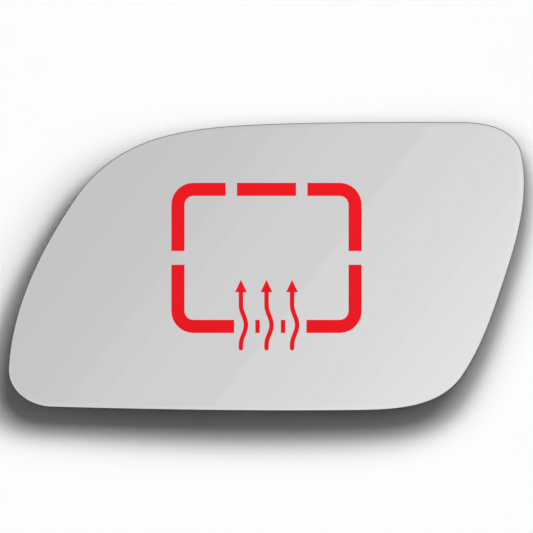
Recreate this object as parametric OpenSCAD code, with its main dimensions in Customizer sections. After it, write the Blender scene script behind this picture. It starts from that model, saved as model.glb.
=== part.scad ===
// Left door mirror glass: a convex heated pane, bonded to the clip-on moulding that carries it.
// It lies as on a bench, with the mirror side up (+Z) and the mouth of the clip ring on z = 0.
// The origin is the point of the clip ring's axis at that mouth. +X is the pane's outer end, +Y its top edge.

/* [Glass] */
// Width of the pane, tip to tip
glass_w = 174.1; // [160:0.1:190]
// Height of the pane
glass_h = 97.3; // [90:0.1:110]
// Thickness of the pane
glass_t = 2; // [1.8:0.1:3]
// Radius of the convex mirror face
crown_r = 1400; // [1200:10:2000]
// Width of the ground bevel round both faces
bevel = 0.3; // [0.2:0.05:0.6]

/* [Heating symbol] */
// Width of the broken frame
symbol_w = 64; // [58:0.5:76]
// Height of the broken frame
symbol_h = 50.5; // [44:0.5:60]
// Height of the frame's centre above the pane's centre
symbol_y = 2.9; // [-4:0.1:6]
// Width of the frame's stroke
stroke_w = 4.4; // [3:0.1:6]
// Inner radius of the frame's corners
symbol_inner_r = 3; // [1:0.1:5]
// Length of the bar in the middle of the frame's top
top_bar_l = 19.9; // [14:0.1:24]
// Break on each side of that bar
top_break = 3.8; // [2:0.1:6]
// Break half-way up each side
side_break = 4.6; // [2:0.1:8]
// Thickness of the symbol's film
film_t = 0.15; // [0.1:0.05:0.3]

/* [Arrows of the symbol] */
// Distance from one arrow to the next
arrow_pitch = 8.6; // [8:0.1:10]
// Length of an arrow, tip to tail
arrow_l = 23.8; // [22:0.1:28]
// How far the tails reach below the frame
tail_drop = 5.9; // [3:0.1:8]
// Width of an arrow's head
head_w = 4; // [3:0.1:5]
// Height of an arrow's head
head_h = 4.2; // [3:0.1:6]
// Width of an arrow's stem
stem_w = 1.5; // [1:0.1:2]
// How far a stem swings out to the right
wave_swing = 1.7; // [1:0.1:2.2]
// Length of that swing along the stem
wave_l = 13.2; // [10:0.1:14]
// Straight tail below the swing
tail_l = 2; // [1:0.1:4]
// Break in the frame's foot round each stem
stem_break = 7.1; // [6:0.1:7.4]

/* [Heater] */
// Thickness of the heater's foil
foil_t = 0.25; // [0.15:0.05:0.4]
// Thickness of the conductor on the foil
track_t = 0.1; // [0.05:0.05:0.2]
// Width of the conductor
track_w = 3.6; // [2.5:0.1:4.5]
// Gap between two runs of the conductor
track_gap = 3.6; // [3:0.1:5]
// Distance from the foil's edge to the conductor
track_setback = 2; // [1:0.1:4]
// Thickness of the adhesive pad
pad_t = 0.9; // [0.6:0.1:1.5]

/* [Terminals] */
// Width of a spade terminal
tab_w = 6.3; // [4.8:0.1:6.3]
// Thickness of its metal
tab_t = 0.8; // [0.5:0.1:0.8]
// Height of the blade, foot to tip
tab_l = 10; // [8:0.5:11]
// Length of its foot
foot_l = 7; // [6:0.1:8]
// Inside radius of the bend between foot and blade
bend_r = 0.6; // [0.4:0.1:1]
// Radius of the detent hole in the blade
detent_r = 0.9; // [0.6:0.1:1.2]
// Distance of that hole from the blade's tip
detent_rise = 3.5; // [3:0.1:4]
// Distance of each terminal from the middle, to its left and right
tab_x = 9; // [7.5:0.5:12]
// Distance of the terminals from the pane's lower edge
tab_rise = 9.65; // [8.5:0.05:11]
// Radius of a rivet's shank
rivet_r = 0.9; // [0.6:0.1:1.2]
// Radius of a rivet's head
rivet_head_r = 1.8; // [1.6:0.1:2.2]
// Height of a rivet's head
rivet_head_h = 0.6; // [0.4:0.1:1]

/* [Carrier] */
// How far the carrier stays inside the pane's edge
carrier_inset = 0.9; // [0.5:0.1:2]
// Thickness of the carrier's panel
panel_t = 1.8; // [1.4:0.1:2.5]
// Thickness of the wall round its edge
rim_t = 1.4; // [1:0.1:2]
// How far that wall reaches below the panel
skirt_h = 2.8; // [2:0.1:4]
// Gap between the rim and the edges of the foil and the pad
pad_room = 0.5; // [0.3:0.1:1]
// Thickness of the ribs
rib_t = 1.2; // [0.8:0.1:1.6]
// Height of the ribs below the panel
rib_h = 2.2; // [1.5:0.1:3]
// Number of ribs that run out from the ring
rib_count = 12; // [8:4:12]
// Distance of the hoop rib from the pane's edge
hoop_inset = 9.5; // [8:0.1:10]
// Gap between a terminal and its window
window_room = 1.6; // [1:0.1:2]

/* [Clip ring] */
// Inside radius of the clip ring
ring_r = 26; // [24:0.1:26.5]
// Thickness of the ring's wall
ring_t = 2.4; // [2.2:0.1:3]
// Depth of the ring below the panel
ring_h = 10; // [9:0.1:14]
// Number of snap fingers
finger_count = 8; // [6:1:10]
// Width of the slots between the fingers
slot_w = 2.4; // [1.5:0.1:3]
// Solid band between the slots and the panel
root_h = 2.4; // [1:0.1:3]
// Bevel of the ring's inner mouth
lead_in = 0.8; // [0.4:0.1:1.2]
// Height of the snap groove above the mouth
snap_z = 2.8; // [2.2:0.1:3]
// Width of the snap groove
snap_w = 1.6; // [1:0.1:2]
// Depth of the snap groove
snap_depth = 0.7; // [0.4:0.1:0.9]
// Thickness of the spring wire round the fingers
wire_d = 1.6; // [1.2:0.1:1.8]
// Height of the spring wire above the mouth
wire_z = 5.6; // [5:0.1:6]
// Angle left open between the wire's ends
wire_open = 24; // [10:1:40]
// How far the wire's bent ends stand out from the ring
leg_l = 4; // [3:0.1:5]
// Inside radius of the bend at those ends
leg_bend_r = 0.4; // [0.2:0.1:0.6]

/* [Guide forks] */
// Gap between the spring wire and the forks
fork_room = 1.8; // [0.8:0.1:3]
// Length of a fork's cheeks
fork_l = 7; // [5:0.1:8]
// Gap between the two cheeks
fork_gap = 3; // [2:0.1:3.5]
// Thickness of a cheek
cheek_t = 1.4; // [1:0.1:2]
// Height of the cheeks below the panel
fork_h = 6.5; // [4:0.1:8]

/* [Hidden] */
$fn = 96;

// Gap that keeps two bonded faces from sharing one surface
bond = 0.02;
// Facets round the dome that curves every layer
dome_fn = 240;
// Points on each span of the pane's outline
span_steps = 12;
// Points on a rounded corner of the symbol
corner_steps = 8;
// Points on a swing of an arrow's stem
wave_steps = 16;
// Points on each lead of the conductor
lead_steps = 10;
// Points on a terminal's bend, and on a rivet's head
bend_steps = 6;
// Points on the wire's seat in the clip ring
seat_steps = 8;
// Overlap of a cutter with what it cuts, and of a rib with what it grows from
over = 1;

// Depths of the layers behind the mirror face
foil_front = glass_t + bond;
foil_back = foil_front + foil_t;
track_front = foil_back + bond;
track_back = track_front + track_t;
pad_front = track_back + bond;
pad_back = pad_front + pad_t;
panel_front = pad_back + bond;
panel_back = panel_front + panel_t;
// A depth inside the panel, from which its ribs, forks and ring grow
panel_core = panel_front + panel_t / 2;

// Height of the mirror face at the axis, and of the centre of its sphere
face_z = ring_h + panel_back;
dome_z = face_z - crown_r;

// Insets of the pieces from the pane's edge
foil_inset = carrier_inset + rim_t + pad_room;
track_inset = foil_inset + track_setback + track_w / 2;

// Distance of the terminals below the middle, and of the forks from the ring's axis
tab_y = glass_h / 2 - tab_rise;
fork_r = ring_r + ring_t + wire_d / 2 + fork_room + fork_l / 2;

// Outline of the pane: x, y and heading in degrees at ten points, clockwise from the top edge's outer end
ANCHORS = [
    [66, 48.6, 0],
    [86, 37.8, -78.5],
    [79.2, -7.2, -108.5],
    [66.1, -36.7, -124],
    [28.4, -48.6, -179.5],
    [-72.5, -47.5, -181.5],
    [-87.1, -34.1, -273.5],
    [-63.9, 23.9, -304.5],
    [-34.8, 43.7, -345],
    [-3.6, 47.7, -357.5]
];

// Direction of a heading
function aim(heading) = [cos(heading), sin(heading)];

// Handle that makes a cubic curve follow an arc: from the chord and the angle it turns by
function handle(chord, turn) = chord * 2 / 3 * tan(turn / 4) / sin(turn / 2);

// Point at share t of a cubic curve
function cubic(p0, p1, p2, p3, t) =
    pow(1 - t, 3) * p0 + 3 * pow(1 - t, 2) * t * p1 + 3 * (1 - t) * t * t * p2 + pow(t, 3) * p3;

// Points from one anchor up to the next
function span(a, b) =
    let (
        p0 = [a.x, a.y],
        p3 = [b.x, b.y],
        turn = (a.z - b.z + 360) % 360,
        h = handle(norm(p3 - p0), turn)
    )
    [for (k = [0:span_steps - 1]) cubic(p0, p0 + h * aim(a.z), p3 - h * aim(b.z), p3, k / span_steps)];

// The outline as drawn, then centred and stretched to the pane's size
DRAWN = [for (i = [0:len(ANCHORS) - 1]) each span(ANCHORS[i], ANCHORS[(i + 1) % len(ANCHORS)])];
drawn_min = [min([for (p = DRAWN) p.x]), min([for (p = DRAWN) p.y])];
drawn_max = [max([for (p = DRAWN) p.x]), max([for (p = DRAWN) p.y])];
drawn_mid = (drawn_min + drawn_max) / 2;
drawn_size = drawn_max - drawn_min;
OUTLINE = [
    for (p = DRAWN)
        [(p.x - drawn_mid.x) * glass_w / drawn_size.x, (p.y - drawn_mid.y) * glass_h / drawn_size.y]
];
COUNT = len(OUTLINE);

// Unit vector into the pane at each point of the outline
INWARD = [
    for (i = [0:COUNT - 1])
        let (t = OUTLINE[(i + 1) % COUNT] - OUTLINE[(i + COUNT - 1) % COUNT])
        [t.y, -t.x] / norm(t)
];

// The outline moved inwards
function inset(d) = [for (i = [0:COUNT - 1]) OUTLINE[i] + d * INWARD[i]];

// Height of the layer at a depth behind the mirror face, over a point of the plan
function layer_z(p, depth) = dome_z + sqrt(pow(crown_r - depth, 2) - p.x * p.x - p.y * p.y);

// Heights at which a closed outline crosses the vertical line at x
function crossings(points, x) = [
    for (i = [0:len(points) - 1])
        let (a = points[i], b = points[(i + 1) % len(points)])
        if ((a.x <= x) != (b.x <= x))
            a.y + (b.y - a.y) * (x - a.x) / (b.x - a.x)
];

// A rounded rectangle round the origin
function rounded(w, h, r) = [
    for (corner = [0:3])
        for (k = [0:corner_steps])
            let (
                angle = 90 * corner + 90 * k / corner_steps,
                centre = [(corner == 0 || corner == 3 ? 1 : -1) * (w / 2 - r), (corner < 2 ? 1 : -1) * (h / 2 - r)]
            )
            centre + r * aim(angle)
];

// The two sides of a stroke along a path, as one closed outline
function unit(v) = v / norm(v);
function side(path, i, half) =
    let (
        before = unit(path[max(i, 1)] - path[max(i, 1) - 1]),
        after = unit(path[min(i, len(path) - 2) + 1] - path[min(i, len(path) - 2)]),
        n1 = [-before.y, before.x],
        n2 = [-after.y, after.x]
    )
    path[i] + half * (n1 + n2) / (1 + n1 * n2);
function stroked(path, w) = concat(
    [for (i = [0:len(path) - 1]) side(path, i, w / 2)],
    [for (i = [len(path) - 1:-1:0]) side(path, i, -w / 2)]
);

// The ball that bounds everything deeper than the given depth
module dome(depth) {
    translate([0, 0, dome_z])
        sphere(r = crown_r - depth, $fn = dome_fn);
}

// A curved layer between two depths, with its children as its plan
module layer(front, back) {
    difference() {
        intersection() {
            translate([0, 0, -over])
                linear_extrude(height = face_z + 2 * over)
                    children();
            dome(front);
        }
        dome(back);
    }
}

// Moves its children out along the dome to x, y, with their +Z square to the layer at that depth
module seat(x, y, depth) {
    r = crown_r - depth;
    translate([0, 0, dome_z])
        rotate([-asin(y / r), asin(x / r), 0])
            translate([0, 0, r])
                children();
}

// The plan of the pane, moved inwards
module plan(d) {
    polygon(inset(d));
}

// A band along the edge of the plan
module band(outer, width) {
    difference() {
        plan(outer);
        plan(outer + width);
    }
}

// The pane's edge: an upright wall that turns in at 45 degrees past each bevel
module edge_block() {
    top_z = face_z + over;
    low_z = min([for (p = OUTLINE) layer_z(p, glass_t)]) - over;
    upper = [for (p = OUTLINE) layer_z(p, bevel)];
    lower = [for (p = OUTLINE) layer_z(p, glass_t - bevel)];
    last = COUNT - 1;
    points = concat(
        [for (i = [0:last]) let (p = OUTLINE[i] + (top_z - upper[i]) * INWARD[i]) [p.x, p.y, top_z]],
        [for (i = [0:last]) [OUTLINE[i].x, OUTLINE[i].y, upper[i]]],
        [for (i = [0:last]) [OUTLINE[i].x, OUTLINE[i].y, lower[i]]],
        [for (i = [0:last]) let (p = OUTLINE[i] + (lower[i] - low_z) * INWARD[i]) [p.x, p.y, low_z]]
    );
    walls = [
        for (row = [0:2])
            for (i = [0:last])
                let (a = row * COUNT + i, b = row * COUNT + (i + 1) % COUNT)
                each [[a, b, b + COUNT], [a, b + COUNT, a + COUNT]]
    ];
    cover = [for (i = [0:last]) last - i];
    base = [for (i = [0:last]) 3 * COUNT + i];
    polyhedron(points = points, faces = concat(walls, [cover, base]), convexity = 4);
}

module mirror_glass() {
    color("lightgray")
        difference() {
            intersection() {
                edge_block();
                dome(0);
            }
            dome(glass_t);
        }
}

// One arrow of the symbol, with its tip at the origin and a round end on its tail
module arrow() {
    wave_top = arrow_l - tail_l - wave_l;
    end_r = stem_w / 2;
    tail_end = [0, end_r - arrow_l];
    stem = concat(
        [[0, -head_h], [0, -wave_top]],
        [
            for (k = [1:wave_steps - 1])
                [wave_swing * (1 - cos(360 * k / wave_steps)) / 2, -wave_top - wave_l * k / wave_steps]
        ],
        [[0, -wave_top - wave_l], tail_end]
    );
    polygon(concat(
        [[0, 0], [head_w / 2, -head_h]],
        [for (i = [0:len(stem) - 1]) side(stem, i, end_r)],
        [for (k = [1:corner_steps - 1]) tail_end + end_r * aim(-180 * k / corner_steps)],
        [for (i = [len(stem) - 1:-1:0]) side(stem, i, -end_r)],
        [[-head_w / 2, -head_h]]
    ));
}

// The frame of the symbol round the origin, without its breaks
module symbol_frame() {
    difference() {
        polygon(rounded(symbol_w, symbol_h, symbol_inner_r + stroke_w));
        polygon(rounded(symbol_w - 2 * stroke_w, symbol_h - 2 * stroke_w, symbol_inner_r));
    }
}

// The general sign for a heated pane: a broken frame with three arrows of rising warmth
module heating_symbol() {
    foot_y = -symbol_h / 2;
    stem_x = wave_swing * 0.75;
    color("red")
        layer(-bond - film_t, -bond)
            translate([0, symbol_y]) {
                difference() {
                    symbol_frame();
                    for (way = [-1, 1])
                        translate([way * (top_bar_l + top_break) / 2, symbol_h / 2])
                            square([top_break, 2 * stroke_w + over], center = true);
                    square([symbol_w + over, side_break], center = true);
                    for (i = [-1:1])
                        translate([i * arrow_pitch + stem_x, foot_y])
                            square([stem_break, 2 * stroke_w + over], center = true);
                }
                for (i = [-1:1])
                    translate([i * arrow_pitch, foot_y - tail_drop + arrow_l])
                        arrow();
            }
}

// Runs its children at both terminals
module each_terminal() {
    for (way = [-1, 1])
        translate([way * tab_x, -tab_y])
            children();
}

// Clear hole round a rivet's shank
module rivet_hole() {
    circle(r = rivet_r + bond);
}

module heater_foil() {
    color("dimgray")
        layer(foil_front, foil_back)
            difference() {
                plan(foil_inset);
                each_terminal()
                    rivet_hole();
            }
}

// Runs of the conductor, evenly spread and even in number, so that both its ends are at the foot
run_reach = glass_w / 2 - track_inset - 2 * track_w;
run_count = 2 * floor(run_reach / (track_w + track_gap));
run_pitch = 2 * run_reach / (run_count - 1);
EDGE = inset(track_inset);
FIELD = inset(track_inset + track_w + track_gap);
function run_x(k) = -run_reach + k * run_pitch;
function run_top(k) = max(crossings(EDGE, run_x(k)));

// A run stops short of the lead below it, and of a terminal where it is over one
foot_top = foot_l / 2 - tab_y + track_gap + track_w / 2;
foot_reach = tab_x + tab_w / 2 + track_gap + track_w / 2;
function run_foot(k) =
    let (low = min(crossings(FIELD, run_x(k))))
    abs(run_x(k)) < foot_reach ? max(low, foot_top) : low;

// Height of the link between run k and the next one
function link_y(k) =
    k % 2 == 0 ? min(run_top(k), run_top(k + 1)) : max(run_foot(k), run_foot(k + 1));

// The conductor's path, from under the left terminal round all runs to the right one
function lead(way) = concat(
    [[way * tab_x, foot_l / 2 - tab_y]],
    [
        for (k = [0:lead_steps])
            let (x = way * (tab_x + (run_reach - tab_x) * k / lead_steps))
            [x, min(crossings(EDGE, x))]
    ]
);
function reversed(list) = [for (i = [len(list) - 1:-1:0]) list[i]];
TRACK = concat(
    lead(-1),
    [for (k = [0:run_count - 2]) each [[run_x(k), link_y(k)], [run_x(k + 1), link_y(k)]]],
    reversed(lead(1))
);

module heating_track() {
    color("gainsboro")
        layer(track_front, track_back)
            difference() {
                polygon(stroked(TRACK, track_w));
                each_terminal()
                    rivet_hole();
            }
}

// Plan of the window through which a terminal stands
module window(room) {
    square([tab_w + 2 * room, foot_l + 2 * room], center = true);
}

module adhesive_pad() {
    color("darkslategray")
        layer(pad_front, pad_back)
            difference() {
                plan(foil_inset);
                each_terminal()
                    window(window_room / 2);
            }
}

// A spade terminal: foot on the foil, bend, and a blade that stands out at the back
module terminal(x) {
    heel = -foot_l / 2;
    bend = [heel + tab_t + bend_r, -tab_t - bend_r];
    tip_taper = tab_t / 4;
    tip_corner = tab_t * 1.5;
    side_view = concat(
        [[foot_l / 2, 0], [foot_l / 2, -tab_t]],
        [for (k = [0:bend_steps]) bend + bend_r * aim(90 + 90 * k / bend_steps)],
        [[heel + tab_t, -tab_l + tab_t], [heel + tab_t - tip_taper, -tab_l]],
        [[heel + tip_taper, -tab_l], [heel, -tab_l + tab_t]],
        [for (k = [0:bend_steps]) bend + (bend_r + tab_t) * aim(180 - 90 * k / bend_steps)]
    );
    color("goldenrod")
        seat(x, -tab_y, track_back + bond)
            difference() {
                translate([-tab_w / 2, 0, 0])
                    rotate([90, 0, 90])
                        linear_extrude(height = tab_w)
                            polygon(side_view);
                translate([0, 0, -tab_t - over])
                    cylinder(r = rivet_r + bond, h = tab_t + 2 * over);
                translate([0, 0, detent_rise - tab_l])
                    rotate([90, 0, 0])
                        cylinder(r = detent_r, h = foot_l + 2 * over, center = true);
                for (way = [-1, 1])
                    translate([way * tab_w / 2, 0, -tab_l])
                        rotate([90, 45, 0])
                            cube([tip_corner, tip_corner, foot_l + 2 * over], center = true);
            }
}

module left_terminal() {
    terminal(-tab_x);
}

module right_terminal() {
    terminal(tab_x);
}

// A rivet: its shank ends flush with the foil's front, and its head is behind the terminal's foot
module rivet() {
    grip = foil_t + track_t + tab_t + 2 * bond;
    rotate_extrude()
        polygon(concat(
            [[0, 0], [rivet_r, 0], [rivet_r, -grip - bond], [rivet_head_r, -grip - bond]],
            [
                for (k = [1:bend_steps])
                    let (arc = aim(90 * k / bend_steps))
                    [rivet_head_r * arc.x, -grip - bond - rivet_head_h * arc.y]
            ]
        ));
}

module terminal_rivets() {
    color("silver")
        for (way = [-1, 1])
            seat(way * tab_x, -tab_y, foil_front)
                rivet();
}

// Plan of the frames round the terminals' windows, which stop at the clip ring
module window_frames() {
    difference() {
        each_terminal()
            window(window_room + rib_t);
        circle(r = ring_r + ring_t / 2);
    }
}

// Plan of the carrier's ribs: spokes and a hoop that follows the edge
module rib_plan() {
    intersection() {
        plan(carrier_inset + rim_t / 2);
        for (k = [0:rib_count - 1])
            rotate(360 * k / rib_count)
                translate([ring_r + ring_t / 2, -rib_t / 2])
                    square([glass_w, rib_t]);
    }
    band(hoop_inset - rib_t, rib_t);
}

// Plan of the two cheeks of every guide fork
module fork_plan() {
    for (k = [0:3])
        rotate(45 + 90 * k)
            for (way = [-1, 1])
                translate([fork_r, way * (fork_gap + cheek_t) / 2])
                    square([fork_l, cheek_t], center = true);
}

// Section of the clip ring's wall, mouth down, with its lead-in, snap groove and the seat of the wire
module ring_section() {
    outer_r = ring_r + ring_t;
    seat_r = wire_d / 2 + bond;
    polygon(concat(
        [[ring_r + lead_in, 0], [outer_r, 0]],
        [for (k = [0:seat_steps]) [outer_r, wire_z] - seat_r * aim(90 - 180 * k / seat_steps)],
        [[outer_r, ring_h + panel_t / 2], [ring_r, ring_h + panel_t / 2]],
        [[ring_r, snap_z + snap_w / 2], [ring_r + snap_depth, snap_z + snap_w / 2 - snap_depth / 2]],
        [[ring_r + snap_depth, snap_z - snap_w / 2 + snap_depth / 2], [ring_r, snap_z - snap_w / 2]],
        [[ring_r, lead_in]]
    ));
}

module clip_ring() {
    difference() {
        rotate_extrude()
            ring_section();
        for (k = [0:finger_count - 1])
            rotate(360 * k / finger_count)
                translate([ring_r - over, -slot_w / 2, -over])
                    cube([ring_t + 2 * over, slot_w, ring_h - root_h + over]);
    }
}

module glass_carrier() {
    color([0.09, 0.09, 0.1])
        union() {
            difference() {
                union() {
                    layer(panel_front, panel_back)
                        plan(carrier_inset);
                    layer(foil_front, panel_back + skirt_h)
                        band(carrier_inset, rim_t);
                    layer(panel_core, panel_back + rib_h)
                        rib_plan();
                    layer(panel_core, panel_back + rib_h)
                        window_frames();
                    layer(panel_core, panel_back + fork_h)
                        fork_plan();
                }
                each_terminal()
                    linear_extrude(height = face_z)
                        window(window_room);
            }
            clip_ring();
        }
}

// Section of the spring wire
module wire_section() {
    circle(r = wire_d / 2, $fn = 32);
}

// An end of the wire, which bends out of the ring's circle into a short leg
module wire_end() {
    turn_r = wire_d / 2 + leg_bend_r;
    translate([ring_r + ring_t + turn_r, 0]) {
        rotate(180)
            rotate_extrude(angle = 90)
                translate([turn_r, 0])
                    wire_section();
        translate([0, -turn_r])
            rotate([90, 0, 90])
                linear_extrude(height = leg_l - turn_r)
                    wire_section();
    }
}

// Open ring of spring wire that closes the fingers on what they grip, with legs to open it by
module clip_spring() {
    color("silver")
        translate([0, 0, wire_z])
            rotate(90) {
                rotate(wire_open / 2)
                    rotate_extrude(angle = 360 - wire_open)
                        translate([ring_r + ring_t, 0])
                            wire_section();
                for (way = [0, 1])
                    mirror([0, way, 0])
                        rotate(wire_open / 2)
                            wire_end();
            }
}

mirror_glass();
heating_symbol();
heater_foil();
heating_track();
adhesive_pad();
left_terminal();
right_terminal();
terminal_rivets();
glass_carrier();
clip_spring();
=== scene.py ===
# Car door mirror glass: the pane as a fine mesh, the finish of every piece, the studio and the camera.
# Values are in metres, apart from those whose name ends in _MM or whose comment says mm.
import math

import bpy
from mathutils import Matrix, Vector


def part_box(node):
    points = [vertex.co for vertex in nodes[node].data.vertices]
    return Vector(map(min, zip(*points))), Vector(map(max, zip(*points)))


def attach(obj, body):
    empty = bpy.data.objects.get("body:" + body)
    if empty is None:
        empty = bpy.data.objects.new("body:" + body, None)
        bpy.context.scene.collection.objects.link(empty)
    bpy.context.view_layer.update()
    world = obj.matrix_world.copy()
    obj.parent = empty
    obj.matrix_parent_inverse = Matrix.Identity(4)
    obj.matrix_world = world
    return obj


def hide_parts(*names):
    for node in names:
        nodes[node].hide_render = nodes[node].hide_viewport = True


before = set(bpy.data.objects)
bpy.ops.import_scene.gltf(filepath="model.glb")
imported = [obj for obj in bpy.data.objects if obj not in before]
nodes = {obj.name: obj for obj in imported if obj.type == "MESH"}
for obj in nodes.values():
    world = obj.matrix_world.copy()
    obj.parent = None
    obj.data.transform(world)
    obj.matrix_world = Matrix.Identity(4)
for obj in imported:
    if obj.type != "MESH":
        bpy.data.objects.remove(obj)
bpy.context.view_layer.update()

MM = 0.001

# The pane's thickness, the radius of its face and the width of its bevels, as in its solid
GLASS_T = 2 * MM
CROWN_R = 1400 * MM
BEVEL = 0.3 * MM
# Narrow rim inside the upper bevel that grinding has rolled off a little
ROLL_W = 0.35 * MM
ROLL_TURN = math.radians(4)
# Outline: x and y in mm and heading in degrees at ten points, clockwise from the top edge's outer end
ANCHORS = [
    (66, 48.6, 0),
    (86, 37.8, -78.5),
    (79.2, -7.2, -108.5),
    (66.1, -36.7, -124),
    (28.4, -48.6, -179.5),
    (-72.5, -47.5, -181.5),
    (-87.1, -34.1, -273.5),
    (-63.9, 23.9, -304.5),
    (-34.8, 43.7, -345),
    (-3.6, 47.7, -357.5),
]
# Steps of the outline from one anchor to the next, and rings of points on the face and on the back
SPAN_STEPS = 40
FACE_RINGS = 44
BACK_RINGS = 10
# Rings are counted from the middle of the face. RIM_ROW is the face's last one, and the surface turns
# sharply at each of CORNER_ROWS.
RIM_ROW = FACE_RINGS - 1
CORNER_ROWS = range(RIM_ROW, RIM_ROW + 4)
# Zones of the pane, in the order of its material slots
FACE, UPPER_BEVEL, EDGE, BACK = range(4)

# The camera looks straight down. Its picture is PICTURE_W wide at the height of the pane's edge, which lies
# EDGE_DROP below the crown. It hangs CAMERA_RISE over that edge and sees as far as CAMERA_REACH.
LENS_MM = 250
SENSOR_MM = 36
PICTURE_W = 179.63 * MM
EDGE_DROP = 2.7 * MM
CAMERA_RISE = PICTURE_W * LENS_MM / SENSOR_MM
CAMERA_REACH = 10

# The lamps that draw the shadow on the floor: two over the pane's top edge, and a weak one over its outer
# end. Each has its centre in mm, its width and height in mm, and its share of their light at the origin.
SHADOW_LAMPS = [
    ((28, 55, 125), (214, 100), 0.62),
    ((42, 102, 170), (70, 70), 0.325),
    ((67, -12, 112), (93, 93), 0.055),
]
# Rings of points that stand for a lamp's whole ellipse. Each has its count, its reach as a share of the
# ellipse's, and where its first point lies, as a share of the way to the next.
LAMP_RINGS = [(4, 0.41, 0.5), (8, 0.82, 0)]
# The large, far lamp that lights the pieces
KEY_LAMP = Vector((0.54, 1.62, 2.08))
KEY_LAMP_SIZE = 1.6
KEY_LAMP_POWER = 92
# Brightness of the dim fill from all round. The shadow lamps give a white floor 1 at the origin.
AMBIENT = 0.048
# Level out of 255 at which the floor and what lies behind it show
GROUND_LEVEL = 253
# The floor's radius and sides, and how much light it throws back at the pieces
FLOOR_RADIUS = 6.0
FLOOR_SIDES = 64
FLOOR_ALBEDO = 0.8
# Distances from the origin over which the lit floor turns into an even glow
FLOOR_FADE = (0.13, 0.19)

# Tone of the chromed face
MIRROR_TONE = (0.66, 0.67, 0.67)
# The sky that the mirror shows from above: bands that slant up to the right. They follow each other along
# a heading in degrees, towards the pane's lower right. Each has its start in mm from the pane's middle and
# its grey level out of 255, and soft edges part them.
BAND_HEADING = -37.57
BAND_EDGE_MM = 1.6
SKY_BANDS = [
    (-75, 197),
    (-50.5, 199),
    (-34.5, 201),
    (-26, 204),
    (-16.5, 207),
    (-7.5, 208),
    (6, 209),
    (14.5, 214),
    (22.5, 215),
    (30.5, 217),
    (44, 219),
    (52, 222),
    (60, 224),
    (68.5, 226),
]
# How much the mirrored ray's slope grows with each mm of the pane, by its crown and by the view
SLOPE_PER_MM = (2 / CROWN_R + 1 / CAMERA_RISE) * MM
# A ray's height is the sine of its angle above the horizon. Its slope is worked out down to LOWEST_RAY, and
# the studio turns into the bands from one height of ZENITH to the other.
LOWEST_RAY = 0.05
ZENITH = (0.93, 0.972)
# Soft panels of light below the bands. Each has its place on a scale and its brightness. The scale adds up
# a ray's height and its reach towards the pane's upper right, each times its weight.
HEIGHT_WEIGHT = 1.3
REACH_WEIGHT = 0.7
STUDIO_PANELS = [(-0.8, 0.7), (-0.35, 0.6), (0.05, 0.95), (0.42, 0.6), (0.95, 1.2), (1.4, 0.9)]
# The panels fade in steps: how many there are to one unit of the scale, and the share of a step that is
# its edge
PANEL_STEPS = 22
STEP_EDGE = 0.2
# The walls at the horizon: the heading of the light one, their brightness, and the height they reach up to
WALL_HEADING = -135
WALL_DARK = 0.3
WALL_LIGHT = 0.6
WALL_TOP = 0.16

# The middle of a noise's range, over which a finish runs from one value to another
NOISE_LOW = 0.3
NOISE_HIGH = 0.7
# How many rays work out the shading of a rounded edge
ROUNDING_SAMPLES = 6


def linear(level):
    """The linear value of a display level out of 255."""
    share = level / 255
    return share / 12.92 if share <= 0.04045 else ((share + 0.055) / 1.055) ** 2.4


def aim(heading):
    """Unit vector along a heading in degrees."""
    return Vector((math.cos(math.radians(heading)), math.sin(math.radians(heading))))


# Mesh of the pane
def span(a, b):
    """Points of the outline from one anchor up to the next, on a cubic curve that follows an arc."""
    start, end = Vector(a[:2]), Vector(b[:2])
    turn = math.radians((a[2] - b[2]) % 360)
    reach = (end - start).length * 2 / 3 * math.tan(turn / 4) / math.sin(turn / 2)
    controls = (start, start + reach * aim(a[2]), end - reach * aim(b[2]), end)
    points = []
    for k in range(SPAN_STEPS):
        t = k / SPAN_STEPS
        weights = ((1 - t) ** 3, 3 * (1 - t) ** 2 * t, 3 * (1 - t) * t * t, t ** 3)
        points.append(sum((w * c for w, c in zip(weights, controls)), Vector((0, 0))))
    return points


def pane_outline():
    """The pane's outline in metres, centred and stretched to the box of its solid."""
    drawn = [p for i, a in enumerate(ANCHORS) for p in span(a, ANCHORS[(i + 1) % len(ANCHORS)])]
    low = Vector((min(p.x for p in drawn), min(p.y for p in drawn)))
    high = Vector((max(p.x for p in drawn), max(p.y for p in drawn)))
    box_low, box_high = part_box("mirror_glass")
    middle = (low + high) / 2
    scale = ((box_high.x - box_low.x) / (high.x - low.x), (box_high.y - box_low.y) / (high.y - low.y))
    return [Vector(((p.x - middle.x) * scale[0], (p.y - middle.y) * scale[1])) for p in drawn]


def inward(outline):
    """Unit vector into the pane at each point of its outline."""
    count = len(outline)
    found = []
    for i in range(count):
        along = outline[(i + 1) % count] - outline[i - 1]
        found.append(Vector((along.y, -along.x)).normalized())
    return found


def zone_after(row):
    """Zone of the strip between a ring of the pane and the next one."""
    if row < RIM_ROW:
        return FACE
    if row == RIM_ROW:
        return UPPER_BEVEL
    return EDGE if row < CORNER_ROWS[-1] else BACK


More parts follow.
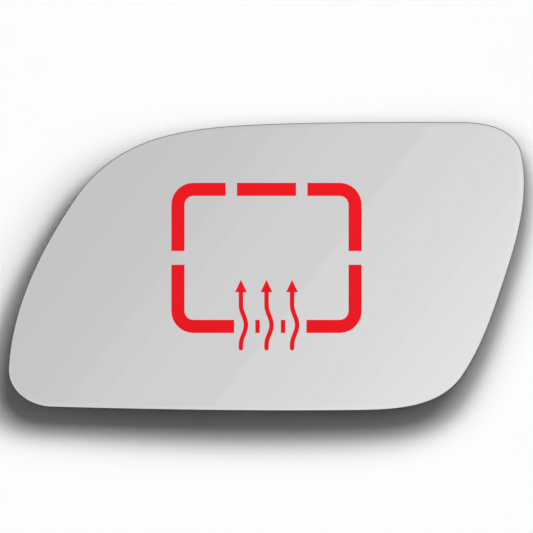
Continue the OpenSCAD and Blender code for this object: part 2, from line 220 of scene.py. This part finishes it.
def make_pane():
    """The pane as one closed mesh: mirror face, ground bevels and edge, and painted back."""
    outline = pane_outline()
    pull = inward(outline)
    dome_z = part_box("mirror_glass")[1].z - CROWN_R

    def lifted(p, depth):
        """Point at that depth under the face's sphere."""
        return (p.x, p.y, dome_z + math.sqrt((CROWN_R - depth) ** 2 - p.x * p.x - p.y * p.y))

    inner = [p + BEVEL * n for p, n in zip(outline, pull)]
    flat = [p + (BEVEL + ROLL_W) * n for p, n in zip(outline, pull)]
    flat_rings = FACE_RINGS - 1
    rings = []
    for k in range(1, flat_rings + 1):
        rings.append([lifted(p * (k / flat_rings), 0) for p in flat])
    rings.append([lifted(p, ROLL_W * math.tan(ROLL_TURN)) for p in inner])
    rings.append([lifted(p, BEVEL) for p in outline])
    rings.append([lifted(p, GLASS_T - BEVEL) for p in outline])
    for k in range(BACK_RINGS, 0, -1):
        rings.append([lifted(p * (k / BACK_RINGS), GLASS_T) for p in inner])

    count = len(outline)
    last = len(rings) - 1
    points = [p for ring in rings for p in ring]
    points.append(lifted(Vector((0, 0)), 0))
    points.append(lifted(Vector((0, 0)), GLASS_T))
    front_mid, back_mid = len(points) - 2, len(points) - 1
    faces = []
    zones = []
    for i in range(count):
        j = (i + 1) % count
        faces.append((front_mid, j, i))
        zones.append(FACE)
        for row in range(last):
            a, b = row * count, (row + 1) * count
            faces.append((a + i, a + j, b + j, b + i))
            zones.append(zone_after(row))
        faces.append((last * count + i, last * count + j, back_mid))
        zones.append(BACK)
    mesh = bpy.data.meshes.new("mirror_pane")
    mesh.from_pydata(points, [], faces)
    mesh.polygons.foreach_set("material_index", zones)
    mesh.polygons.foreach_set("use_smooth", [True] * len(faces))
    mesh.update()
    for edge in mesh.edges:
        a, b = (vertex // count for vertex in edge.vertices)
        edge.use_edge_sharp = a == b and a in CORNER_ROWS
    for finish in (mirror_face(), ground_bevel(), ground_edge(), back_paint()):
        mesh.materials.append(finish)
    pane = bpy.data.objects.new("mirror_pane", mesh)
    bpy.context.scene.collection.objects.link(pane)
    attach(pane, "root")
    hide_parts("mirror_glass")
    return pane


# Shader helpers
def add(tree, kind, inputs=None, **settings):
    """Adds a shader node, sets it up and fills or links its inputs."""
    made = tree.nodes.new("ShaderNode" + kind)
    for name, value in settings.items():
        setattr(made, name, value)
    for name, value in (inputs or {}).items():
        if isinstance(value, bpy.types.NodeSocket):
            tree.links.new(value, made.inputs[name])
        else:
            made.inputs[name].default_value = value
    return made


def math_node(tree, operation, a, b=0.0):
    """Result of one sum on two values or sockets."""
    return add(tree, "Math", {0: a, 1: b}, operation=operation).outputs[0]


def vector_node(tree, operation, a, b=None):
    """Result of one sum on vectors, as a vector or, for a length or a dot product, as a value."""
    made = add(tree, "VectorMath", {0: a} if b is None else {0: a, 1: b}, operation=operation)
    return made.outputs["Value" if operation in ("LENGTH", "DOT_PRODUCT") else "Vector"]


def span_share(tree, value, low, high, interpolation="LINEAR"):
    """Where a value lies from low to high, from 0 to 1."""
    made = add(tree, "MapRange", {0: value, 1: low, 2: high}, interpolation_type=interpolation)
    return made.outputs[0]


def start_material(name, colour, roughness, metallic=0.0, specular=0.5):
    """A new material with a principled shader. Returns the material, its tree and that shader."""
    made = bpy.data.materials.new(name)
    made.use_nodes = True
    tree = made.node_tree
    tree.nodes.clear()
    shader = add(tree, "BsdfPrincipled", {
        "Base Color": (*colour, 1),
        "Roughness": roughness,
        "Metallic": metallic,
        "Specular IOR Level": specular,
    })
    add(tree, "OutputMaterial", {"Surface": shader.outputs[0]})
    made.diffuse_color = (*colour, 1)
    return made, tree, shader


def noise(tree, size, detail=2.0, stretch=(1, 1, 1)):
    """Noise with features about that size in metres, from 0 to 1, stretched along the axes."""
    place = add(tree, "TexCoord").outputs["Object"]
    mapped = add(tree, "Mapping", {"Vector": place, "Scale": [1 / s for s in stretch]})
    made = add(tree, "TexNoise", {"Vector": mapped.outputs[0], "Scale": 1 / size, "Detail": detail})
    return made.outputs["Fac"]


def between(tree, share, low, high):
    """A value that runs from low to high as share runs over the middle of its range."""
    made = add(tree, "MapRange", {0: share, 1: NOISE_LOW, 2: NOISE_HIGH, 3: low, 4: high})
    return made.outputs[0]


def tones(tree, share, dark, light):
    """A colour from dark to light as share runs over the middle of its range."""
    made = add(tree, "ValToRGB", {"Fac": share})
    low, high = made.color_ramp.elements
    low.position, high.position = NOISE_LOW, NOISE_HIGH
    low.color, high.color = (*dark, 1), (*light, 1)
    return made.outputs[0]


def bump(tree, height, depth, strength=1.0, normal=None):
    """A bump normal from a height between 0 and 1 that stands for that depth in metres."""
    inputs = {"Height": height, "Distance": depth, "Strength": strength}
    if normal is not None:
        inputs["Normal"] = normal
    return add(tree, "Bump", inputs).outputs[0]


def soft_edges(tree, radius):
    """Normals that round every edge by that radius."""
    return add(tree, "Bevel", {"Radius": radius}, samples=ROUNDING_SAMPLES).outputs[0]


def link(tree, shader, **sockets):
    """Links sockets to the shader's inputs, named with underscores."""
    for name, value in sockets.items():
        tree.links.new(value, shader.inputs[name.replace("_", " ")])


def put(node, finish):
    """Gives a CAD node one material."""
    slots = nodes[node].data.materials
    slots.clear()
    slots.append(finish)


# Materials
def mirror_face():
    """Chromed face: clean, with the faintest haze in its roughness."""
    made, tree, shader = start_material("mirror", MIRROR_TONE, 0.02, metallic=1.0)
    link(tree, shader, Roughness=between(tree, noise(tree, 18 * MM), 0.012, 0.03))
    return made


def ground_bevel():
    """Upper bevel, ground through the face: bare glass over the dark paint."""
    made, tree, shader = start_material("ground_bevel", (0.17, 0.18, 0.178), 0.35, specular=0.2)
    grind = noise(tree, 0.2 * MM, 3)
    link(
        tree, shader,
        Base_Color=tones(tree, grind, (0.15, 0.16, 0.158), (0.19, 0.2, 0.198)),
        Normal=bump(tree, grind, 0.01 * MM, 0.4),
    )
    return made


def ground_edge():
    """Ground edge of the pane, greenish grey and matt."""
    made, tree, shader = start_material("ground_edge", (0.3, 0.33, 0.32), 0.35)
    grind = noise(tree, 0.25 * MM, 3)
    link(
        tree, shader,
        Base_Color=tones(tree, grind, (0.26, 0.29, 0.28), (0.34, 0.37, 0.36)),
        Normal=bump(tree, grind, 0.02 * MM, 0.5),
    )
    return made


def back_paint():
    """Dark protective paint on the back of the pane."""
    made, tree, shader = start_material("back_paint", (0.06, 0.06, 0.065), 0.45)
    link(
        tree, shader,
        Base_Color=tones(tree, noise(tree, 4 * MM), (0.05, 0.05, 0.055), (0.07, 0.07, 0.075)),
        Normal=bump(tree, noise(tree, 0.8 * MM), 0.03 * MM, 0.4),
    )
    return made


def red_film():
    """Satin red film, evenly coloured, with the slight orange peel of a print."""
    made, tree, shader = start_material("red_film", (0.845, 0.0104, 0.0164), 0.4, specular=0.1)
    link(
        tree, shader,
        Base_Color=tones(tree, noise(tree, 6 * MM), (0.835, 0.01, 0.016), (0.855, 0.0108, 0.0168)),
        Roughness=between(tree, noise(tree, 2 * MM), 0.36, 0.44),
        Normal=bump(tree, noise(tree, 0.6 * MM), 0.006 * MM, 0.4),
    )
    return made


def heater_film():
    """Smooth dark polyester film."""
    made, tree, shader = start_material("foil", (0.12, 0.12, 0.13), 0.35)
    link(
        tree, shader,
        Base_Color=tones(tree, noise(tree, 9 * MM), (0.11, 0.11, 0.12), (0.13, 0.13, 0.14)),
        Roughness=between(tree, noise(tree, 3 * MM), 0.3, 0.42),
    )
    return made


def etched_track():
    """Rolled aluminium foil, with streaks along the rolling direction."""
    made, tree, shader = start_material("track", (0.75, 0.75, 0.76), 0.3, metallic=1.0)
    rolled = noise(tree, 0.3 * MM, 3, (1, 30, 1))
    link(
        tree, shader,
        Base_Color=tones(tree, rolled, (0.7, 0.7, 0.71), (0.79, 0.79, 0.8)),
        Roughness=between(tree, rolled, 0.26, 0.38),
    )
    return made


def foam_tape():
    """Closed-cell foam, with its cut cells, and painted shade that darkens each cell's hollow."""
    made, tree, shader = start_material("foam", (0.05, 0.05, 0.055), 0.9, specular=0.2)
    place = add(tree, "TexCoord").outputs["Object"]
    cell_depth_and_shade = add(tree, "TexVoronoi", {"Vector": place, "Scale": 1 / (0.5 * MM)}).outputs["Distance"]
    link(
        tree, shader,
        # Painted shade: the colour is darker in each cut cell's hollow and lighter on its walls
        Base_Color=tones(tree, cell_depth_and_shade, (0.04, 0.04, 0.045), (0.065, 0.065, 0.07)),
        Normal=bump(tree, cell_depth_and_shade, 0.15 * MM, 0.8),
    )
    return made


def stamped_brass():
    """Rolled and stamped brass sheet, a little dulled."""
    made, tree, shader = start_material("brass", (0.78, 0.62, 0.32), 0.3, metallic=1.0)
    rolled = noise(tree, 0.2 * MM, 3, (1, 1, 20))
    dull = noise(tree, 3 * MM, 4)
    link(
        tree, shader,
        Base_Color=tones(tree, dull, (0.68, 0.52, 0.25), (0.82, 0.66, 0.36)),
        Roughness=between(tree, dull, 0.24, 0.4),
        Normal=bump(tree, rolled, 0.008 * MM, 0.5, soft_edges(tree, 0.12 * MM)),
    )
    return made


def bright_steel():
    """Drawn steel of the wire and the rivets."""
    made, tree, shader = start_material("steel", (0.6, 0.6, 0.61), 0.28, metallic=1.0)
    drawn = noise(tree, 0.35 * MM, 3, (3, 3, 0.4))
    link(
        tree, shader,
        Base_Color=tones(tree, noise(tree, 5 * MM), (0.56, 0.56, 0.57), (0.64, 0.64, 0.65)),
        Roughness=between(tree, drawn, 0.22, 0.36),
        Normal=bump(tree, drawn, 0.006 * MM, 0.4),
    )
    return made


def moulded_plastic():
    """Black moulding with a fine spark-eroded grain, softened edges and slight flow marks."""
    made, tree, shader = start_material("black_plastic", (0.018, 0.018, 0.02), 0.5, specular=0.4)
    grain = noise(tree, 0.35 * MM, 4)
    flow = noise(tree, 14 * MM, 2, (1, 2.5, 1))
    dullness = math_node(tree, "ADD", grain, math_node(tree, "MULTIPLY", flow, 0.2))
    link(
        tree, shader,
        Base_Color=tones(tree, flow, (0.014, 0.014, 0.016), (0.023, 0.023, 0.025)),
        Roughness=between(tree, dullness, 0.42, 0.6),
        Normal=bump(tree, grain, 0.03 * MM, 0.6, soft_edges(tree, 0.18 * MM)),
    )
    return made


# Lamps
def shadow_lamps():
    """Centre and size in metres, and share of the light, of each shadow lamp."""
    return [(Vector(centre) * MM, [s * MM for s in size], share) for centre, size, share in SHADOW_LAMPS]


def lamp_axes(place):
    """Right, up and back of a lamp that stands there and is aimed at the origin."""
    back = place.normalized()
    right = Vector((0, 1, 0)).cross(back).normalized()
    return right, back.cross(right), back


def lamp_points(place, size):
    """Points that stand for a lamp's whole ellipse."""
    right, up, _ = lamp_axes(place)
    points = []
    for count, reach, first in LAMP_RINGS:
        for k in range(count):
            turn = 2 * math.pi * (k + first) / count
            across, along = math.cos(turn) * size[0], math.sin(turn) * size[1]
            points.append(place + reach / 2 * (across * right + along * up))
    return points


def light_at_origin(place, size):
    """A white floor's brightness at the origin under a lamp, times pi squared over the lamp's power."""
    back = place.normalized()
    points = lamp_points(place, size)
    return sum(p.z * p.dot(back) / p.length ** 4 for p in points) / len(points)


def make_lamp(name, place, power, size, receivers):
    """An area lamp aimed at the origin that lights only the receivers and shows in no mirror."""
    data = bpy.data.lights.new(name, "AREA")
    data.shape = "ELLIPSE"
    data.size, data.size_y = size
    data.energy = power
    lamp = bpy.data.objects.new(name, data)
    bpy.context.scene.collection.objects.link(lamp)
    turn = Matrix(lamp_axes(place)).transposed()
    lamp.matrix_world = Matrix.Translation(place) @ turn.to_4x4()
    lamp.visible_camera = False
    lamp.visible_glossy = False
    group = bpy.data.collections.new(name + "_receivers")
    for piece in receivers:
        group.objects.link(piece)
    lamp.light_linking.receiver_collection = group


# Floor
def lamp_light(tree, spot, place, size):
    """How brightly a lamp lights each spot of the bare floor, as a share of its light at the origin."""
    back = place.normalized()
    points = lamp_points(place, size)
    total = 0.0
    for point in points:
        way = vector_node(tree, "SUBTRACT", point, spot)
        facing = math_node(tree, "MULTIPLY", vector_node(tree, "DOT_PRODUCT", way, back), point.z)
        spread = math_node(tree, "POWER", vector_node(tree, "LENGTH", way), 4)
        total = math_node(tree, "ADD", math_node(tree, "DIVIDE", facing, spread), total)
    share = math_node(tree, "DIVIDE", total, len(points) * light_at_origin(place, size))
    return math_node(tree, "MAXIMUM", share, 0.0)


def floor_material():
    """Pale floor. Seen directly it is even all round the object's shadow. Other rays meet a plain one."""
    made = bpy.data.materials.new("studio_floor")
    made.use_nodes = True
    tree = made.node_tree
    tree.nodes.clear()
    spot = add(tree, "TexCoord").outputs["Object"]
    light = AMBIENT
    for place, size, share in shadow_lamps():
        shone = math_node(tree, "MULTIPLY", lamp_light(tree, spot, place, size), share)
        light = math_node(tree, "ADD", shone, light)
    # Its colour undoes the lamps' falloff, so that only the shadow is left
    even = add(tree, "BsdfDiffuse", {"Color": math_node(tree, "DIVIDE", linear(GROUND_LEVEL), light)})
    glow = add(tree, "Emission", {"Color": (1, 1, 1, 1), "Strength": linear(GROUND_LEVEL)})
    far = span_share(tree, vector_node(tree, "LENGTH", spot), *FLOOR_FADE, "SMOOTHSTEP")
    seen = add(tree, "MixShader", {0: far, 1: even.outputs[0], 2: glow.outputs[0]})
    plain = add(tree, "BsdfDiffuse", {"Color": (FLOOR_ALBEDO, FLOOR_ALBEDO, FLOOR_ALBEDO, 1)})
    rays = add(tree, "LightPath").outputs
    direct = math_node(tree, "MAXIMUM", rays["Is Camera Ray"], rays["Is Glossy Ray"])
    direct = math_node(tree, "MAXIMUM", direct, rays["Is Transmission Ray"])
    mixed = add(tree, "MixShader", {0: direct, 1: plain.outputs[0], 2: seen.outputs[0]})
    add(tree, "OutputMaterial", {"Surface": mixed.outputs[0]})
    return made


def make_floor():
    """A wide round floor at the height of the clip ring's mouth."""
    mesh = bpy.data.meshes.new("studio_floor")
    turns = [2 * math.pi * k / FLOOR_SIDES for k in range(FLOOR_SIDES)]
    rim = [(FLOOR_RADIUS * math.cos(turn), FLOOR_RADIUS * math.sin(turn), 0) for turn in turns]
    mesh.from_pydata(rim, [], [list(range(FLOOR_SIDES))])
    mesh.materials.append(floor_material())
    floor = bpy.data.objects.new("studio_floor", mesh)
    bpy.context.scene.collection.objects.link(floor)
    return floor


# World
def weighted(tree, ray, weights):
    """Sum of a direction's X, Y and Z, each times its weight."""
    terms = [math_node(tree, "MULTIPLY", ray.outputs[i], w) for i, w in enumerate(weights) if w]
    total = terms[0]
    for term in terms[1:]:
        total = math_node(tree, "ADD", total, term)
    return total


def mix_colours(tree, share, a, b):
    """A colour from a to b."""
    made = tree.nodes.new("ShaderNodeMix")
    made.data_type = "RGBA"
    sockets = {s.identifier: s for s in made.inputs}
    tree.links.new(share, sockets["Factor_Float"])
    tree.links.new(a, sockets["A_Color"])
    tree.links.new(b, sockets["B_Color"])
    return next(s for s in made.outputs if s.identifier == "Result_Color")


def ramp(tree, value, stops, interpolation="LINEAR"):
    """The colour that the stops give a value. Each stop has its value, and a brightness or a colour."""
    low, high = stops[0][0], stops[-1][0]
    made = add(tree, "ValToRGB", {"Fac": span_share(tree, value, low, high)})
    made.color_ramp.interpolation = interpolation
    elements = made.color_ramp.elements
    while len(elements) < len(stops):
        elements.new(1.0)
    for element, (place, shade) in zip(elements, stops):
        element.position = (place - low) / (high - low)
        element.color = (*shade, 1) if isinstance(shade, tuple) else (shade, shade, shade, 1)
    return made.outputs[0]


def sky_bands(tree, ray):
    """The banded sky, with the light that the mirror turns into each band's grey."""
    half_edge = BAND_EDGE_MM / 2
    stops = []
    for (start, level), following in zip(SKY_BANDS, [*SKY_BANDS[1:], None]):
        light = tuple(linear(level) / share for share in MIRROR_TONE)
        stops.append(((start + half_edge) * SLOPE_PER_MM, light))
        if following:
            stops.append(((following[0] - half_edge) * SLOPE_PER_MM, light))
    reach = weighted(tree, ray, (*aim(BAND_HEADING), 0))
    slope = math_node(tree, "DIVIDE", reach, math_node(tree, "MAXIMUM", ray.outputs[2], LOWEST_RAY))
    return ramp(tree, slope, stops)


def studio_panels(tree, ray):
    """Soft panels of light one over another, which fade in steps."""
    reach = aim(BAND_HEADING + 90) * REACH_WEIGHT
    steps = math_node(tree, "MULTIPLY", weighted(tree, ray, (*reach, HEIGHT_WEIGHT)), PANEL_STEPS)
    edge = span_share(tree, math_node(tree, "FRACT", steps), 1 - STEP_EDGE, 1)
    stepped = math_node(tree, "ADD", math_node(tree, "FLOOR", steps), edge)
    return ramp(tree, math_node(tree, "DIVIDE", stepped, PANEL_STEPS), STUDIO_PANELS, "EASE")


def studio_walls(tree, ray):
    """Walls round the horizon, light on one side and dark on the other."""
    side = weighted(tree, ray, (*aim(WALL_HEADING), 0))
    return add(tree, "MapRange", {0: side, 1: -1.0, 2: 1.0, 3: WALL_DARK, 4: WALL_LIGHT}).outputs[0]


def make_world():
    """Pale for the camera, a dim fill for matt surfaces, and a studio under a banded sky for the mirror."""
    world = bpy.data.worlds.new("studio")
    bpy.context.scene.world = world
    world.use_nodes = True
    # The fill is even, so no rays are aimed at it
    world.cycles.sampling_method = "NONE"
    tree = world.node_tree
    tree.nodes.clear()
    ray = add(tree, "SeparateXYZ", {0: add(tree, "TexCoord").outputs["Generated"]})
    above_walls = span_share(tree, ray.outputs[2], 0, WALL_TOP, "SMOOTHSTEP")
    studio = mix_colours(tree, above_walls, studio_walls(tree, ray), studio_panels(tree, ray))
    overhead = span_share(tree, ray.outputs[2], *ZENITH, "SMOOTHSTEP")
    shown = mix_colours(tree, overhead, studio, sky_bands(tree, ray))

    rays = add(tree, "LightPath").outputs
    straight = math_node(tree, "MAXIMUM", rays["Is Camera Ray"], rays["Is Transmission Ray"])
    fill = add(tree, "Background", {"Color": (1, 1, 1, 1), "Strength": AMBIENT})
    sky = add(tree, "Background", {"Color": shown, "Strength": 1.0})
    pale = add(tree, "Background", {"Color": (1, 1, 1, 1), "Strength": linear(GROUND_LEVEL)})
    shone = add(tree, "MixShader", {0: rays["Is Glossy Ray"], 1: fill.outputs[0], 2: sky.outputs[0]})
    seen = add(tree, "MixShader", {0: straight, 1: shone.outputs[0], 2: pale.outputs[0]})
    add(tree, "OutputWorld", {"Surface": seen.outputs[0]})


def make_camera(edge_z):
    """A camera straight above the origin, framed on the pane's edge, with the pane's top edge up."""
    data = bpy.data.cameras.new("camera")
    data.lens = LENS_MM
    data.sensor_width = SENSOR_MM
    data.clip_end = CAMERA_REACH
    camera = bpy.data.objects.new("camera", data)
    bpy.context.scene.collection.objects.link(camera)
    camera.location = (0, 0, edge_z + CAMERA_RISE)
    bpy.context.scene.camera = camera


pane = make_pane()
steel = bright_steel()
brass = stamped_brass()
FINISHES = {
    "heating_symbol": red_film(),
    "heater_foil": heater_film(),
    "heating_track": etched_track(),
    "adhesive_pad": foam_tape(),
    "left_terminal": brass,
    "right_terminal": brass,
    "terminal_rivets": steel,
    "glass_carrier": moulded_plastic(),
    "clip_spring": steel,
}
for name, finish in FINISHES.items():
    put(name, finish)

floor = make_floor()
for number, (place, size, share) in enumerate(shadow_lamps(), 1):
    power = share * math.pi ** 2 / light_at_origin(place, size)
    make_lamp(f"shadow_lamp_{number}", place, power, size, [floor])
make_lamp("key_lamp", KEY_LAMP, KEY_LAMP_POWER, (KEY_LAMP_SIZE, KEY_LAMP_SIZE), [pane, *nodes.values()])
make_world()
make_camera(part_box("mirror_glass")[1].z - EDGE_DROP)
bpy.context.scene.view_settings.view_transform = "Standard"
